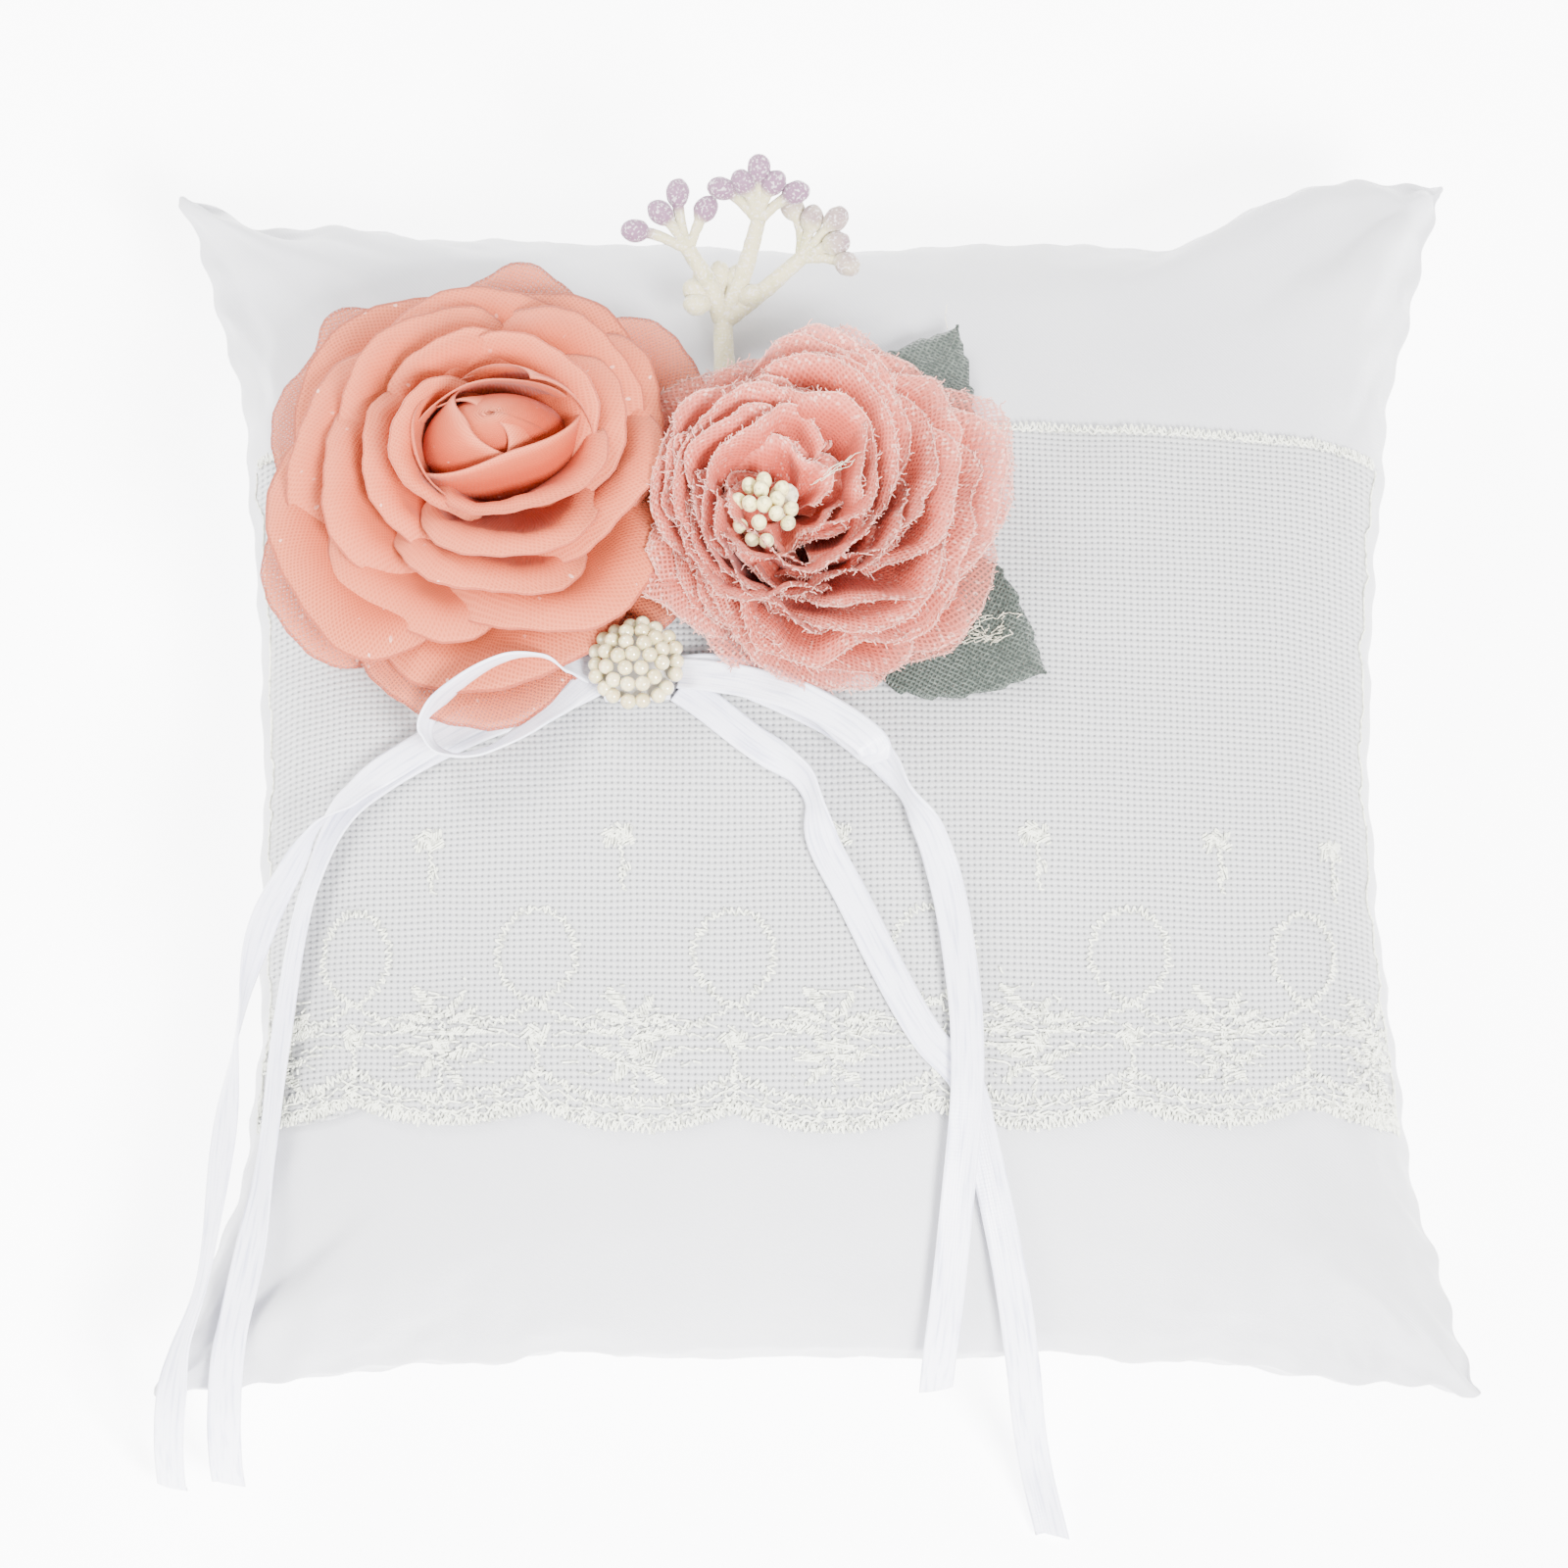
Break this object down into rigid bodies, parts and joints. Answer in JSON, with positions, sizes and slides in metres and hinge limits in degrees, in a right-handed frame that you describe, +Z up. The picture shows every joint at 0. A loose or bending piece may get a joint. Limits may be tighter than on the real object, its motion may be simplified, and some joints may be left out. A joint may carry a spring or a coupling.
{
  "type": "ring bearer pillow",
  "caption": "Square stuffed satin pillow with a lace band, fabric flowers, a pearl cluster and ribbon ties that hold wedding rings.",
  "frame": {"origin": "on the table, under the middle of the pillow as it lies on its back", "axes": "+Z up, out of the decorated front; +Y towards the edge above the flowers; +X to the right as the front is looked at"},
  "size_m": [0.2067, 0.2135, 0.0825],
  "materials": {
    "cover_satin": "white matt satin",
    "filling_fibre": "loose polyester fibre",
    "lace": "sheer ribbed net with embroidery",
    "lace_thread": "off-white thread",
    "backing_felt": "felt",
    "flower_thread": "wound thread",
    "rose_chiffon": "peach chiffon with a faint glitter",
    "coral_organza": "sheer coral organza",
    "stamen_heads": "cream paste",
    "leaf_cloth": "grey-green woven cloth",
    "pearls": "pearl lacquer",
    "ribbon_satin": "white satin ribbon",
    "berry_sprig": "flocked, with lilac frosted tips"
  },
  "bodies": {
    "root": {"back_cover": "cover_satin", "bow_loop_left": "ribbon_satin", "bow_loop_right": "ribbon_satin", "filling": "filling_fibre", "front_cover": "cover_satin", "lace_edge_cord": "lace_thread", "lace_net": "lace", "lace_scallop_border": "lace", "leaf_lower": "leaf_cloth", "leaf_upper": "leaf_cloth", "organza_backing": "backing_felt", "organza_ruffle_1": "coral_organza", "organza_ruffle_2": "coral_organza", "organza_ruffle_3": "coral_organza", "organza_ruffle_4": "coral_organza", "organza_ruffle_5": "coral_organza", "organza_stem": "flower_thread", "pearl_backing": "backing_felt", "pearl_centre": "pearls", "pearl_inner_ring": "pearls", "pearl_middle_ring": "pearls", "pearl_outer_ring": "pearls", "ribbon_knot": "ribbon_satin", "ribbon_tail_left_1": "ribbon_satin", "ribbon_tail_left_2": "ribbon_satin", "ribbon_tail_right_1": "ribbon_satin", "ribbon_tail_right_2": "ribbon_satin", "rose_backing": "backing_felt", "rose_bud": "rose_chiffon", "rose_petals_1": "rose_chiffon", "rose_petals_2": "rose_chiffon", "rose_petals_3": "rose_chiffon", "rose_petals_4": "rose_chiffon", "rose_petals_5": "rose_chiffon", "rose_petals_6": "rose_chiffon", "rose_stem": "flower_thread", "sprig_left_spray": "berry_sprig", "sprig_right_spray": "berry_sprig", "sprig_stem": "berry_sprig", "sprig_top_spray": "berry_sprig", "stamen_inner_heads": "stamen_heads", "stamen_outer_heads": "stamen_heads", "stamen_stalks": "flower_thread"}
  },
  "joints": []
}
